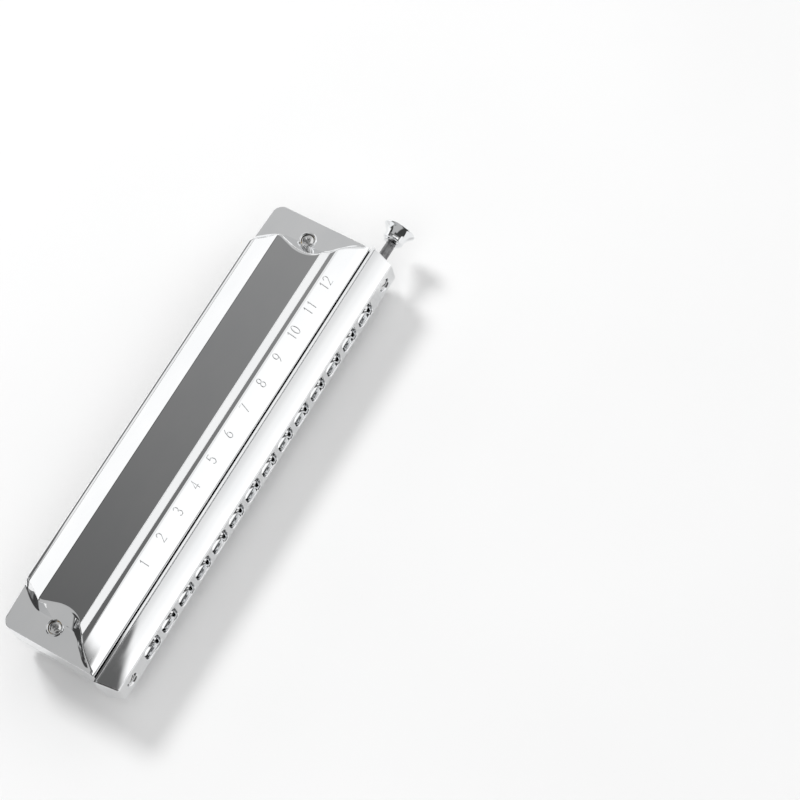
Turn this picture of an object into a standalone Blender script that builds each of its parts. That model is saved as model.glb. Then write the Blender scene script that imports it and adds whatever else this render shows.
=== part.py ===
"""Slide chromatic harmonica with fourteen holes, as separate solids.

World frame, metres: +X runs along the row of holes from the lowest note to the slide
button, +Y from the mouth face to the open back, +Z up. The origin is the middle of the
lower cover's flat underside, on which the instrument lies.

Sizes below are millimetres in the instrument's own frame: x = 0 midway along the body,
y = 0 on the mouth face, z = 0 on the plane midway between the two covers.
"""
import math

import bmesh
import bpy
import numpy as np
from mathutils import Vector

MM = 0.001

# Driving dimensions, millimetres
PITCH = 9.6                   # hole to hole
HOLES = 14
GAP = 0.3                     # between neighbouring solids
COVER_HALF = 80.1             # half length of a cover at its end tabs
COVER_FRONT = 7.64            # front edge of a cover, behind the mouth face
COVER_REAR = 42.8             # outermost point of the rear lip
TAB_Z = 9.66                  # top of the end tabs
TAB_REAR = 42.2               # rear edge of the tabs
LEDGE_Z = 12.95               # rear edge of the numbered slope in front of the flat top
PLATEAU_Z = 15.35             # flat top
PLATEAU_Y = (17.9, 33.7)      # its front and rear edge
SHEET = 0.5                   # thickness of the cover sheet
MOUTH_FACE = (79.74, 4.51)    # half length and half height of the mouth face
MOUTH_BODY = (81.4, 8.09)     # the same behind the bevels
MOUTH_BEVEL = 6.8             # depth of the bevels
MOUTH_DEPTH = 7.2
MOUTH_END = 82.5              # beyond either end of the mouthpiece, for cutting
CHANNEL = (77.0, 4.7, 5.9)    # slide channel: half length, front, half height
GUIDE_HALF = (76.6, 5.6)      # half length and half height of the slide guides
FRONT_GUIDE_Y = (4.98, 5.25)
BACK_GUIDE_Y = (6.45, 6.95)
HOLE_HALF = (3.8, 3.5)        # half width and half height of a mouth hole
SLIDE_Y = 5.85                # mid-plane of the slide
SLIDE_THICK = 0.6
TRAVEL = 4.2                  # how far the button goes in
SLIDE_HALF = 5.5              # half height of the slide
COMB_FRONT = 7.55
COMB_REAR = 38.6
COMB_HALF = 78.9
COMB_Z = 5.5                  # half thickness of the comb
PLATE_THICK = 1.05
COVER_SCREW = (73.1, 26.5)    # distance from the middle, distance behind the mouth face
COVER_HOLE = 2.35             # radius of the screw hole in a cover
PLATE_SCREW_X = (-71.0, -24.0, 24.0, 71.0)
PLATE_SCREW_Y = 36.7
MOUTH_SCREW_X = 74.1
MOUTH_SCREW_END = 13.0        # tip of the screws, behind the mouth face
WINDOW = (2.0, 0.9, 4.7)      # slide window: half width, lower and upper edge
NECK = (1.6, 81.3, 87.6)      # radius and ends of the button's neck
KNOB = (87.9, 94.25)          # ends of the button
REED_LENGTHS = (19.0, 10.0)   # lowest and highest note

# Worked out from them
REST_Y = sum(PLATEAU_Y) / 2
PLATE_Z = COMB_Z + GAP
PLATE_TOP = PLATE_Z + PLATE_THICK
HOLE_X = [(i - (HOLES - 1) / 2) * PITCH for i in range(HOLES)]
REED_OFFSET = 2.3             # a reed's centre from the middle of its hole
REED_FRONT = 13.0             # front end of the reed slots


def clear_scene():
    for thing in list(bpy.data.objects):
        bpy.data.objects.remove(thing, do_unlink=True)


def empty(name, location, parent=None):
    holder = bpy.data.objects.new(name, None)
    bpy.context.scene.collection.objects.link(holder)
    holder.location = [v * MM for v in location]
    holder.parent = parent
    return holder


def material(name, colour, roughness, metallic):
    surface = bpy.data.materials.new(name)
    surface.use_nodes = True
    shader = surface.node_tree.nodes["Principled BSDF"]
    shader.inputs["Base Color"].default_value = (*colour, 1.0)
    shader.inputs["Roughness"].default_value = roughness
    shader.inputs["Metallic"].default_value = metallic
    return surface


def solid(name, mesh_bm, surface, parent, smooth_below=None, outward=True):
    """Turn a bmesh drawn in millimetres into a named object held by parent."""
    offset = [-v / MM for v in parent.location] if parent.parent else (0, 0, 0)
    if outward:
        bmesh.ops.recalc_face_normals(mesh_bm, faces=mesh_bm.faces)
    bmesh.ops.translate(mesh_bm, vec=offset, verts=mesh_bm.verts)
    bmesh.ops.scale(mesh_bm, vec=(MM, MM, MM), verts=mesh_bm.verts)
    mesh = bpy.data.meshes.new(name)
    mesh_bm.to_mesh(mesh)
    mesh_bm.free()
    if surface is not None:
        mesh.materials.append(surface)
    if smooth_below is not None:
        mesh.shade_smooth()
        mesh.set_sharp_from_angle(angle=math.radians(smooth_below))
    piece = bpy.data.objects.new(name, mesh)
    bpy.context.scene.collection.objects.link(piece)
    piece.parent = parent
    return piece


def shape(piece, operation, name, guide_bm):
    """Cut a hidden guide out of a piece, or join it on."""
    guide = solid(name, guide_bm, None, piece.parent)
    guide.hide_render = True
    guide.display_type = "WIRE"
    step = piece.modifiers.new(name, "BOOLEAN")
    step.operation = operation
    step.solver = "EXACT"
    step.object = guide


def add_box(mesh_bm, x, y, z):
    """Box between a low and a high value along each axis."""
    corners = [mesh_bm.verts.new((i, j, k)) for k in sorted(z) for j in sorted(y) for i in sorted(x)]
    sides = ((0, 2, 3, 1), (4, 5, 7, 6), (0, 1, 5, 4), (1, 3, 7, 5), (3, 2, 6, 7), (2, 0, 4, 6))
    for side in sides:
        mesh_bm.faces.new([corners[i] for i in side])


def add_prism(mesh_bm, outline, low, high, axis):
    """Raise an outline from low to high: (x, z) pairs along y, or (x, y) pairs along z."""
    def place(pair, level):
        return (pair[0], level, pair[1]) if axis == "y" else (pair[0], pair[1], level)
    rings = [[mesh_bm.verts.new(place(pair, level)) for pair in outline] for level in (low, high)]
    mesh_bm.faces.new(rings[0])
    mesh_bm.faces.new(rings[1][::-1])
    for i in range(len(outline)):
        mesh_bm.faces.new([rings[0][i - 1], rings[0][i], rings[1][i], rings[1][i - 1]])


def add_turned(mesh_bm, profile, axis, centre, sides):
    """Turn (radius, distance) points about an axis; radius 0 closes an end."""
    rings = []
    for radius, along in profile:
        ring = []
        for i in range(sides if radius > 0 else 1):
            turn = 2 * math.pi * i / sides
            a, b = radius * math.cos(turn), radius * math.sin(turn)
            offset = {"x": (along, a, b), "y": (a, along, b), "z": (a, b, along)}[axis]
            ring.append(mesh_bm.verts.new(Vector(centre) + Vector(offset)))
        rings.append(ring)
    for low, high in zip(rings, rings[1:]):
        for i in range(sides):
            j = (i + 1) % sides
            ends = (low[i % len(low)], low[j % len(low)], high[j % len(high)], high[i % len(high)])
            mesh_bm.faces.new(list(dict.fromkeys(ends)))


def add_rod(mesh_bm, radius, ends, axis, centre, sides=12):
    """Plain round bar between two distances along an axis."""
    add_turned(mesh_bm, [(0, ends[0]), (radius, ends[0]), (radius, ends[1]), (0, ends[1])],
               axis, centre, sides)


def rounded_box(middle, half_width, half_height, radius, steps):
    """Outline of a rectangle with round corners."""
    points = []
    for quarter, (sx, sz) in enumerate(((1, 1), (-1, 1), (-1, -1), (1, -1))):
        for i in range(steps + 1):
            turn = math.pi / 2 * (quarter + i / steps)
            points.append((middle + sx * (half_width - radius) + radius * math.cos(turn),
                           sz * (half_height - radius) + radius * math.sin(turn)))
    return points


# Covers: each is one pressed sheet. Its rows run along the length, one for each point of
# the cross section, and its stations lead from the middle over the wall of the raised part
# and the flat tab to the rim, and then down the skirt to the parting plane.
# Cross section of the raised part (y, z): a flange behind the mouthpiece, the numbered
# slope, a narrow flat, a step up to the flat top, and the rear slope. The rear rows add
# where the row meets the foot of the wall, and the share of the way round the corner at
# which it meets the rim.
FRONT_ROWS = [
    (COVER_FRONT, 7.2), (COVER_FRONT + 0.01, 8.8), (8.1, 9.17), (12.2, 11.3), (15.65, LEDGE_Z),
    (17.3, LEDGE_Z + 0.05), (PLATEAU_Y[0], PLATEAU_Z), (22.0, PLATEAU_Z), (26.5, PLATEAU_Z),
    (30.5, PLATEAU_Z), (PLATEAU_Y[1], PLATEAU_Z), (36.4, 14.2), (38.8, 13.2),
]
REAR_ROWS = [
    (40.4, 12.6, 39.9, 0.12), (41.7, 12.0, 40.8, 0.3), (42.5, 11.6, 41.4, 0.5),
    (COVER_REAR, 11.0, 41.8, 0.75), (42.7, 10.3, TAB_REAR, 1.0),
]
# Where the wall of the raised part stands: y, half length at its top, half length at its foot
WALL_PLAN = [
    (7.6, 79.3, 79.8), (9.8, 78.5, 79.3), (11.6, 77.2, 78.6), (13.4, 75.6, 77.4),
    (15.0, 73.7, 75.9), (16.5, 71.6, 74.6), (17.7, 69.9, 73.2), (19.6, 68.2, 72.0),
    (23.0, 67.1, 71.6), (26.5, 67.2, 71.5), (30.3, 68.3, 71.5), (33.5, 69.1, 71.2),
    (36.0, 67.7, 70.4), (38.5, 66.2, 69.0), (41.5, 64.7, 66.8), (42.8, 64.3, 65.9),
]
CORNER = 3.0                  # radius of the rear corners in plan
END_DRAFT = 0.25              # how much further out the end walls are at the parting plane
PARTING = 0.15                # half the gap between the two covers
REAR_OPENING = 67.8           # half length of the open back
MIDDLE = (0.5, 0.93)          # stations over the raised part, as a share of its half length
WALL = ((1.0, 1.0), (0.0, 0.0))
TAB = (0.5, 1.0)
SKIRT = (0.5, 0.0)            # share of the height that is left


def rim_point(y, share):
    """Edge of the tab in plan: the end, the round corner, then the rear edge."""
    straight = TAB_REAR - CORNER
    if share == 0:
        return COVER_HALF, min(y, straight)
    arc = math.pi / 2 * CORNER
    travelled = share * (arc + COVER_HALF - CORNER - REAR_OPENING)
    if travelled < arc:
        turn = travelled / CORNER
        return COVER_HALF - CORNER * (1 - math.cos(turn)), straight + CORNER * math.sin(turn)
    return COVER_HALF - CORNER - (travelled - arc), TAB_REAR


def cover_row(y, z, tab_y, share):
    """Half a row: from beside the middle to the bottom of the skirt."""
    plan_y, plan_top, plan_foot = zip(*WALL_PLAN)
    top = float(np.interp(y, plan_y, plan_top))
    foot = float(np.interp(tab_y, plan_y, plan_foot))
    tab_z = min(z, TAB_Z)
    rim_x, rim_y = rim_point(y, share)
    points = [(top * part, y, z) for part in MIDDLE]
    for run, rise in WALL:
        points.append((foot + (top - foot) * run, tab_y + (y - tab_y) * rise,
                       tab_z + (z - tab_z) * rise))
    points += [(foot + (rim_x - foot) * part, tab_y + (rim_y - tab_y) * part, tab_z)
               for part in TAB]
    for part in SKIRT:
        points.append((rim_x + END_DRAFT * (1 - part), rim_y,
                       PARTING + (tab_z - PARTING) * part))
    return points


def add_cover(side, surface, parent):
    """One cover; side is 1 for the upper and -1 for the lower one."""
    rows = [cover_row(y, z, y, 0) for y, z in FRONT_ROWS]
    rows += [cover_row(*row) for row in REAR_ROWS]
    mesh_bm = bmesh.new()
    grid = []
    for row in rows:
        y, z = row[0][1], row[0][2]
        whole = [(-px, py, pz) for px, py, pz in row[::-1]] + [(0, y, z)] + row
        grid.append([mesh_bm.verts.new((px, py, side * pz)) for px, py, pz in whole])
    for front, rear in zip(grid, grid[1:]):
        for i in range(len(front) - 1):
            corners = [front[i], front[i + 1], rear[i + 1], rear[i]]
            mesh_bm.faces.new(corners if side > 0 else corners[::-1])
    name = "top_cover" if side > 0 else "bottom_cover"
    piece = solid(name, mesh_bm, surface, parent, 25, outward=False)
    skin = piece.modifiers.new("sheet", "SOLIDIFY")
    skin.thickness = SHEET * MM
    skin.offset = -1
    skin.use_even_offset = True
    holes = bmesh.new()
    for end in (-1, 1):
        add_rod(holes, COVER_HOLE, sorted((side * 8.0, side * 11.0)), "z",
                (end * COVER_SCREW[0], COVER_SCREW[1], 0), 20)
    shape(piece, "DIFFERENCE", name + "_screw_holes", holes)


def add_mouthpiece(surface, parent):
    """Block with bevelled top and bottom, holes and a channel for the slide behind."""
    block = bmesh.new()
    rings = []
    for (half_x, half_z), y in ((MOUTH_FACE, 0), (MOUTH_BODY, MOUTH_BEVEL), (MOUTH_BODY, MOUTH_DEPTH)):
        corners = ((-1, -1), (1, -1), (1, 1), (-1, 1))
        rings.append([block.verts.new((sx * half_x, y, sz * half_z)) for sx, sz in corners])
    block.faces.new(rings[0])
    block.faces.new(rings[-1][::-1])
    for low, high in zip(rings, rings[1:]):
        for i in range(4):
            block.faces.new([low[i - 1], low[i], high[i], high[i - 1]])
    piece = solid("mouthpiece", block, surface, parent, 25)
    channel = bmesh.new()
    half_length, front, half_height = CHANNEL
    add_box(channel, (-half_length, half_length), (front, MOUTH_DEPTH + 1),
            (-half_height, half_height))
    shape(piece, "DIFFERENCE", "slide_channel", channel)
    holes = bmesh.new()
    for x in HOLE_X:
        add_prism(holes, rounded_box(x, *HOLE_HALF, 2.2, 3), -1.0, 5.5, "y")
    for end in (-1, 1):
        centre = (end * MOUTH_SCREW_X, 0, 0)
        add_turned(holes, [(0, -1), (2.3, -1), (2.3, 1.6), (1.3, 1.6), (1.3, 5.5), (0, 5.5)],
                   "y", centre, 16)
    shape(piece, "DIFFERENCE", "mouth_holes", holes)
    way_out = bmesh.new()
    add_box(way_out, (76.5, MOUTH_END), (SLIDE_Y - 0.6, SLIDE_Y + 0.6), (-4.0, 4.0))
    shape(piece, "DIFFERENCE", "slide_way_out", way_out)
    neck_way = bmesh.new()
    add_rod(neck_way, NECK[0] + 0.25, (76.9, MOUTH_END), "x", (0, SLIDE_Y, 0), 20)
    shape(piece, "DIFFERENCE", "neck_way", neck_way)
    spring_way = bmesh.new()
    add_box(spring_way, (76.0, 79.4), (SLIDE_Y - 0.65, 8.0), (-3.2, -1.8))
    shape(piece, "DIFFERENCE", "spring_way", spring_way)


def add_guides(surface, parent):
    """Thin windowed plates in front of the slide and behind it."""
    half_length, half_height = GUIDE_HALF
    front = bmesh.new()
    add_box(front, (-half_length, half_length), FRONT_GUIDE_Y, (-half_height, half_height))
    front_guide = solid("slide_front_guide", front, surface, parent)
    openings = bmesh.new()
    for x in HOLE_X:
        add_box(openings, (x - 3.4, x + 3.4), (4, 6), (-4.6, 4.6))
    for end in (-1, 1):
        add_rod(openings, 1.3, (4, 6), "y", (end * MOUTH_SCREW_X, 0, 0))
    shape(front_guide, "DIFFERENCE", "front_guide_windows", openings)

    back = bmesh.new()
    add_box(back, (-half_length, half_length), BACK_GUIDE_Y, (-half_height, half_height))
    back_guide = solid("slide_back_guide", back, surface, parent)
    openings = bmesh.new()
    half_width, near, far = WINDOW
    for x in HOLE_X:
        for side in (-1, 1):
            add_box(openings, (x - half_width, x + half_width), (6, 7.5), (side * near, side * far))
    for end in (-1, 1):
        add_rod(openings, 1.3, (6, 7.5), "y", (end * MOUTH_SCREW_X, 0, 0))
    shape(back_guide, "DIFFERENCE", "back_guide_windows", openings)


def add_slide(surface, carriage):
    """Flat strip; its lower windows come into line with the holes when it is pushed in."""
    strip = bmesh.new()
    outline = [(-68.2, -SLIDE_HALF), (71.0, -SLIDE_HALF), (71.0, -3.6), (81.0, -3.6),
               (81.0, 3.6), (71.0, 3.6), (71.0, SLIDE_HALF), (-68.2, SLIDE_HALF)]
    half = SLIDE_THICK / 2
    add_prism(strip, outline, SLIDE_Y - half, SLIDE_Y + half, "y")
    piece = solid("slide", strip, surface, carriage)
    openings = bmesh.new()
    half_width, near, far = WINDOW
    for x in HOLE_X:
        add_box(openings, (x - half_width, x + half_width), (5, 7), (near, far))
        add_box(openings, (x - half_width + TRAVEL, x + half_width + TRAVEL), (5, 7), (-far, -near))
    add_box(openings, (MOUTH_SCREW_X - 1.4, MOUTH_SCREW_X + TRAVEL + 1.4), (5, 7), (-1.4, 1.4))
    add_box(openings, (77.6, 79.2), (5, 7), (-3.1, -1.9))
    shape(piece, "DIFFERENCE", "slide_windows", openings)


def add_button(surface, neck_surface, carriage):
    """Flared knob on a round neck."""
    neck = bmesh.new()
    radius, low, high = NECK
    add_turned(neck, [(0, low), (radius - 0.2, low), (radius, low + 0.2), (radius, high), (0, high)],
               "x", (0, SLIDE_Y, 0), 20)
    solid("button_neck", neck, neck_surface, carriage, 35)
    knob = bmesh.new()
    base, crown = KNOB
    profile = [(0, base), (2.9, base), (3.4, base + 0.4), (3.45, base + 1.2)]
    for i in range(1, 7):
        share = i / 6
        profile.append((3.45 + 1.95 * share ** 2.2, base + 1.2 + 3.6 * share))
    profile += [(5.4, crown - 1.05), (5.1, crown - 0.75), (3.6, crown - 0.3), (1.9, crown - 0.05),
                (0, crown)]
    add_turned(knob, profile, "x", (0, SLIDE_Y, 0), 28)
    solid("slide_button", knob, surface, carriage, 35)


def add_spring(surface, parent):
    """Wire coil in the comb's notch; its front arm pushes the slide out."""
    centre_x, centre_y, radius = 77.0, 11.0, 1.4
    points = [(centre_x + radius, y, -2.5) for y in (5.7, 7.6, 9.4)]
    turns, steps = 3, 10
    for i in range(turns * steps + steps // 2 + 1):
        turn = 2 * math.pi * i / steps
        points.append((centre_x + radius * math.cos(turn), centre_y + radius * math.sin(turn),
                       -2.5 - 0.06 * i))
    last = points[-1]
    points += [(last[0], last[1] + step, last[2]) for step in (-1.0, -2.0)]
    points = [Vector(p) * MM for p in points]
    curve = bpy.data.curves.new("slide_spring", "CURVE")
    curve.dimensions = "3D"
    curve.bevel_depth = 0.25 * MM
    curve.bevel_resolution = 1
    curve.use_fill_caps = True
    curve.materials.append(surface)
    spline = curve.splines.new("POLY")
    spline.points.add(len(points) - 1)
    for target, point in zip(spline.points, points):
        target.co = (*point, 1.0)
    piece = bpy.data.objects.new("slide_spring", curve)
    bpy.context.scene.collection.objects.link(piece)
    piece.parent = parent


def add_bumper(surface, parent):
    """Soft pad round the low screw, which stops the slide when it is pushed in."""
    pad = bmesh.new()
    add_box(pad, (-76.6, -72.7), (5.55, 6.15), (-5.2, 5.2))
    piece = solid("slide_bumper", pad, surface, parent)
    hole = bmesh.new()
    add_rod(hole, 1.2, (5, 7), "y", (-MOUTH_SCREW_X, 0, 0))
    shape(piece, "DIFFERENCE", "bumper_hole", hole)


def add_comb(surface, parent):
    """Block with a forked pair of chambers above and below each hole."""
    block = bmesh.new()
    add_box(block, (-COMB_HALF, COMB_HALF), (COMB_FRONT, COMB_REAR), (-COMB_Z, COMB_Z))
    piece = solid("comb", block, surface, parent)
    chambers = bmesh.new()
    for index, x in enumerate(HOLE_X):
        rear = REED_FRONT + reed_length(index) + 2.0
        outline = [(x - 4.2, 7.0), (x + 4.2, 7.0), (x + 4.2, rear), (x + 0.4, rear),
                   (x + 0.4, 9.8), (x - 0.4, 9.8), (x - 0.4, rear), (x - 4.2, rear)]
        for side in (-1, 1):
            low, high = sorted((side * 0.9, side * (COMB_Z + 1)))
            add_prism(chambers, outline, low, high, "z")
    shape(piece, "DIFFERENCE", "chambers", chambers)
    screw_holes = bmesh.new()
    for end in (-1, 1):
        add_rod(screw_holes, 1.25, (7.0, 13.3), "y", (end * MOUTH_SCREW_X, 0, 0))
    for x in PLATE_SCREW_X:
        for side in (-1, 1):
            add_rod(screw_holes, 1.1, sorted((side * 2.0, side * 7.0)), "z", (x, PLATE_SCREW_Y, 0))
    shape(piece, "DIFFERENCE", "comb_screw_holes", screw_holes)
    notch = bmesh.new()
    add_box(notch, (75.0, 80.0), (7.0, 15.0), (-5.0, -1.45))
    shape(piece, "DIFFERENCE", "spring_notch", notch)


def reed_length(index):
    """Reeds shorten evenly in pitch from the low end to the high end."""
    low, high = REED_LENGTHS
    return low * (high / low) ** (index / (HOLES - 1))


def outer_reed_outline(x, index):
    """Reed on the plate: wide pad in front of the slot, tongue towards the rear."""
    front = REED_FRONT - 0.3
    tip = front + reed_length(index)
    return [(x - 1.5, front - 3.2), (x + 1.5, front - 3.2), (x + 1.5, front), (x + 1.0, front),
            (x + 1.0, tip), (x - 1.0, tip), (x - 1.0, front), (x - 1.5, front)]


def inner_reed_outline(x, index):
    """Reed under the plate: tongue towards the front, wide pad behind the slot."""
    front = REED_FRONT + 0.4
    neck = REED_FRONT + reed_length(index) + 0.3
    return [(x - 1.5, neck), (x - 1.0, neck), (x - 1.0, front), (x + 1.0, front), (x + 1.0, neck),
            (x + 1.5, neck), (x + 1.5, neck + 1.6), (x - 1.5, neck + 1.6)]


def add_reed_plate(side, surface, reed_surface, parent):
    """Plate with its slots and inner reeds, and the outer reeds as pieces of their own."""
    name = "upper" if side > 0 else "lower"
    plate = bmesh.new()
    add_box(plate, (-COMB_HALF, COMB_HALF), (COMB_FRONT, COMB_REAR), (side * PLATE_Z, side * PLATE_TOP))
    piece = solid(name + "_reed_plate", plate, surface, parent)
    slots = bmesh.new()
    inner = bmesh.new()
    for index, x in enumerate(HOLE_X):
        rear = REED_FRONT + reed_length(index)
        for offset in (-REED_OFFSET, REED_OFFSET):
            middle = x + offset
            add_box(slots, (middle - 1.2, middle + 1.2), (REED_FRONT, rear), (side * 5, side * 8))
        levels = sorted((side * (PLATE_Z - 0.3), side * (PLATE_Z + 0.2)))
        add_prism(inner, inner_reed_outline(x - REED_OFFSET, index), *levels, "z")
        outer = bmesh.new()
        levels = sorted((side * (PLATE_TOP + GAP), side * (PLATE_TOP + GAP + 0.35)))
        add_prism(outer, outer_reed_outline(x + REED_OFFSET, index), *levels, "z")
        solid(f"{name}_reed_{index + 1:02d}", outer, reed_surface, parent)
    for x in PLATE_SCREW_X:
        add_rod(slots, 1.1, sorted((side * 5, side * 8)), "z", (x, PLATE_SCREW_Y, 0))
    shape(piece, "DIFFERENCE", name + "_plate_slots", slots)
    shape(piece, "UNION", name + "_inner_reeds", inner)


def add_screws(surface, post_surface, parent):
    """Cover screws in their posts, reed plate screws and mouthpiece screws."""
    for side, level in ((1, "upper"), (-1, "lower")):
        for end, place in ((-1, "low"), (1, "high")):
            centre = (end * COVER_SCREW[0], COVER_SCREW[1], 0)
            screw = bmesh.new()
            profile = [(0, 7.3), (1.0, 7.3), (1.0, 9.15), (2.05, 9.15), (2.05, 9.5), (1.5, 9.75),
                       (0, 9.85)]
            add_turned(screw, [(r, side * z) for r, z in profile], "z", centre, 20)
            solid(f"{level}_cover_screw_{place}", screw, surface, parent, 35)
            post = bmesh.new()
            add_rod(post, 3.0, sorted((side * (PLATE_TOP + GAP), side * 8.85)), "z", centre, 20)
            piece = solid(f"{level}_cover_post_{place}", post, post_surface, parent, 35)
            bore = bmesh.new()
            add_rod(bore, 1.3, sorted((side * 6, side * 10)), "z", centre)
            shape(piece, "DIFFERENCE", f"{level}_post_bore_{place}", bore)
        for number, x in enumerate(PLATE_SCREW_X, 1):
            screw = bmesh.new()
            profile = [(0, 2.6), (0.8, 2.6), (0.8, 7.15), (1.7, 7.15), (1.7, 7.5), (1.2, 7.9),
                       (0, 8.0)]
            add_turned(screw, [(r, side * z) for r, z in profile], "z", (x, PLATE_SCREW_Y, 0), 14)
            solid(f"{level}_plate_screw_{number}", screw, surface, parent, 35)
    for end, place in ((-1, "low"), (1, "high")):
        screw = bmesh.new()
        profile = [(0, 0.35), (1.4, 0.45), (1.95, 0.75), (1.95, 1.3), (0.95, 1.3),
                   (0.95, MOUTH_SCREW_END), (0, MOUTH_SCREW_END)]
        add_turned(screw, profile, "y", (end * MOUTH_SCREW_X, 0, 0), 16)
        solid(f"mouthpiece_screw_{place}", screw, surface, parent, 35)


def build():
    clear_scene()
    chrome = material("chrome", (0.9, 0.9, 0.92), 0.04, 1.0)
    steel = material("steel", (0.45, 0.45, 0.47), 0.2, 1.0)
    anodised = material("anodised_aluminium", (0.75, 0.75, 0.77), 0.35, 1.0)
    brass = material("reed_brass", (0.85, 0.65, 0.3), 0.25, 1.0)
    rubber = material("rubber", (0.05, 0.05, 0.05), 0.8, 0.0)
    harmonica = empty("harmonica", (0, -REST_Y, PLATEAU_Z))
    carriage = empty("slide_carriage", (0, SLIDE_Y, 0), harmonica)
    add_cover(1, chrome, harmonica)
    add_cover(-1, chrome, harmonica)
    add_mouthpiece(chrome, harmonica)
    add_guides(steel, harmonica)
    add_slide(steel, carriage)
    add_button(chrome, steel, carriage)
    add_spring(steel, harmonica)
    add_bumper(rubber, harmonica)
    add_comb(anodised, harmonica)
    add_reed_plate(1, chrome, brass, harmonica)
    add_reed_plate(-1, chrome, brass, harmonica)
    add_screws(steel, brass, harmonica)


build()
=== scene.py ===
import math

import bmesh
import bpy
from mathutils import Matrix, Vector


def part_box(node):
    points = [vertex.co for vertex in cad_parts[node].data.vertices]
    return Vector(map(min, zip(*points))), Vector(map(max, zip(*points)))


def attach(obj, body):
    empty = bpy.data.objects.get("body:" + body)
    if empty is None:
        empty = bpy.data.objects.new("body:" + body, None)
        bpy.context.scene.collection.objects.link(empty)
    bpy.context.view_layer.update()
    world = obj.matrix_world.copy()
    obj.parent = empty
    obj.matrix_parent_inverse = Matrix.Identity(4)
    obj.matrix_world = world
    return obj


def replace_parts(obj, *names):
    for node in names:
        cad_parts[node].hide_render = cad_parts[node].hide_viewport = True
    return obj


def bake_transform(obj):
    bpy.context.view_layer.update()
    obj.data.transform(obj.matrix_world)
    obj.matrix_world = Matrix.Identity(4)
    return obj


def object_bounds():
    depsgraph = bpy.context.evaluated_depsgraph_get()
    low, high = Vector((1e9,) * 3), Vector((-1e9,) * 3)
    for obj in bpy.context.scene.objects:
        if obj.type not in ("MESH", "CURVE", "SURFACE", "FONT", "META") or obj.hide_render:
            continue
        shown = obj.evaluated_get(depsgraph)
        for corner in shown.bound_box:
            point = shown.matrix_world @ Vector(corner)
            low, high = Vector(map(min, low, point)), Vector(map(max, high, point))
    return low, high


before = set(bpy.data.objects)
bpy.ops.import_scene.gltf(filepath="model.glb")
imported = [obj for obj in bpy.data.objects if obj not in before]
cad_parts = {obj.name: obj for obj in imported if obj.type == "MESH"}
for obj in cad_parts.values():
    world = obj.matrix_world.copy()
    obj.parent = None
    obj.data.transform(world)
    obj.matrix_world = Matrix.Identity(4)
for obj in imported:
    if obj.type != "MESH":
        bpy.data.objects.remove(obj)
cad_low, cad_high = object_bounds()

# The view. The harmonica lies on its lower cover and is looked down on from its mouth
# side and low end, with the camera tipped round its own axis so that the body rises to
# the upper right.
MM = 0.001
MID_Z = cad_high.z / 2
FACE_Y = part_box("mouthpiece")[0].y


def at(x, y, z):
    """Point given in millimetres from the middle of the mouth face, in metres."""
    return Vector((x * MM, FACE_Y + y * MM, MID_Z + z * MM))


def aim_camera(azimuth, elevation, roll, distance, lens, target):
    around, above = math.radians(azimuth), math.radians(elevation)
    back = Vector((math.sin(around) * math.cos(above), -math.cos(around) * math.cos(above),
                   math.sin(above)))
    lens_data = bpy.data.cameras.new("studio_camera")
    lens_data.lens = lens
    lens_data.sensor_width = 36.0
    lens_data.clip_start, lens_data.clip_end = 0.05, 20.0
    camera = bpy.data.objects.new("studio_camera", lens_data)
    bpy.context.scene.collection.objects.link(camera)
    tipped = Matrix.Rotation(math.radians(roll), 3, "Z")
    aimed = back.to_track_quat("Z", "Y").to_matrix() @ tipped
    camera.matrix_world = Matrix.Translation(target + back * distance) @ aimed.to_4x4()
    bpy.context.scene.camera = camera


aim_camera(azimuth=-39.3, elevation=65.4, roll=-21.2, distance=0.8015, lens=115.9,
           target=at(42.6, -24.9, 0))
bpy.context.scene.view_settings.view_transform = "Standard"


# Shader expressions. A Value stands for one socket, and arithmetic on it adds Math nodes.
class Value:
    """One socket of a node tree."""

    def __init__(self, tree, socket=None):
        self.tree, self.socket = tree, socket

    def node(self, kind, *values, out=0, named=None, stops=None, **settings):
        """Add a node, fill its inputs in order or by name, and return one output."""
        made = self.tree.nodes.new(kind)
        for name, setting in settings.items():
            setattr(made, name, setting)
        for index, (place, colour) in enumerate(stops or []):
            elements = made.color_ramp.elements
            if index >= len(elements):
                elements.new(1.0)
            elements[index].position = place
            elements[index].color = (*colour, 1.0)
        for place, value in [*enumerate(values), *(named or {}).items()]:
            if isinstance(value, Value):
                self.tree.links.new(value.socket, made.inputs[place])
            elif value is not None:
                made.inputs[place].default_value = value
        return Value(self.tree, made.outputs[out]) if made.outputs else None

    def __add__(self, other):
        return self.node("ShaderNodeMath", self, other, operation="ADD")

    def __sub__(self, other):
        return self.node("ShaderNodeMath", self, other, operation="SUBTRACT")

    def __rsub__(self, other):
        return self.node("ShaderNodeMath", other, self, operation="SUBTRACT")

    def __mul__(self, other):
        return self.node("ShaderNodeMath", self, other, operation="MULTIPLY")

    __radd__ = __add__
    __rmul__ = __mul__

    def step(self, low, high):
        """Smooth change from 0 at low to 1 at high, either of which may be the larger."""
        return self.node("ShaderNodeMapRange", self, min(low, high), max(low, high),
                         float(low > high), float(low < high), interpolation_type="SMOOTHSTEP")

    def most(self, other):
        """The larger of two values."""
        return self.node("ShaderNodeMath", self, other, operation="MAXIMUM")


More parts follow.
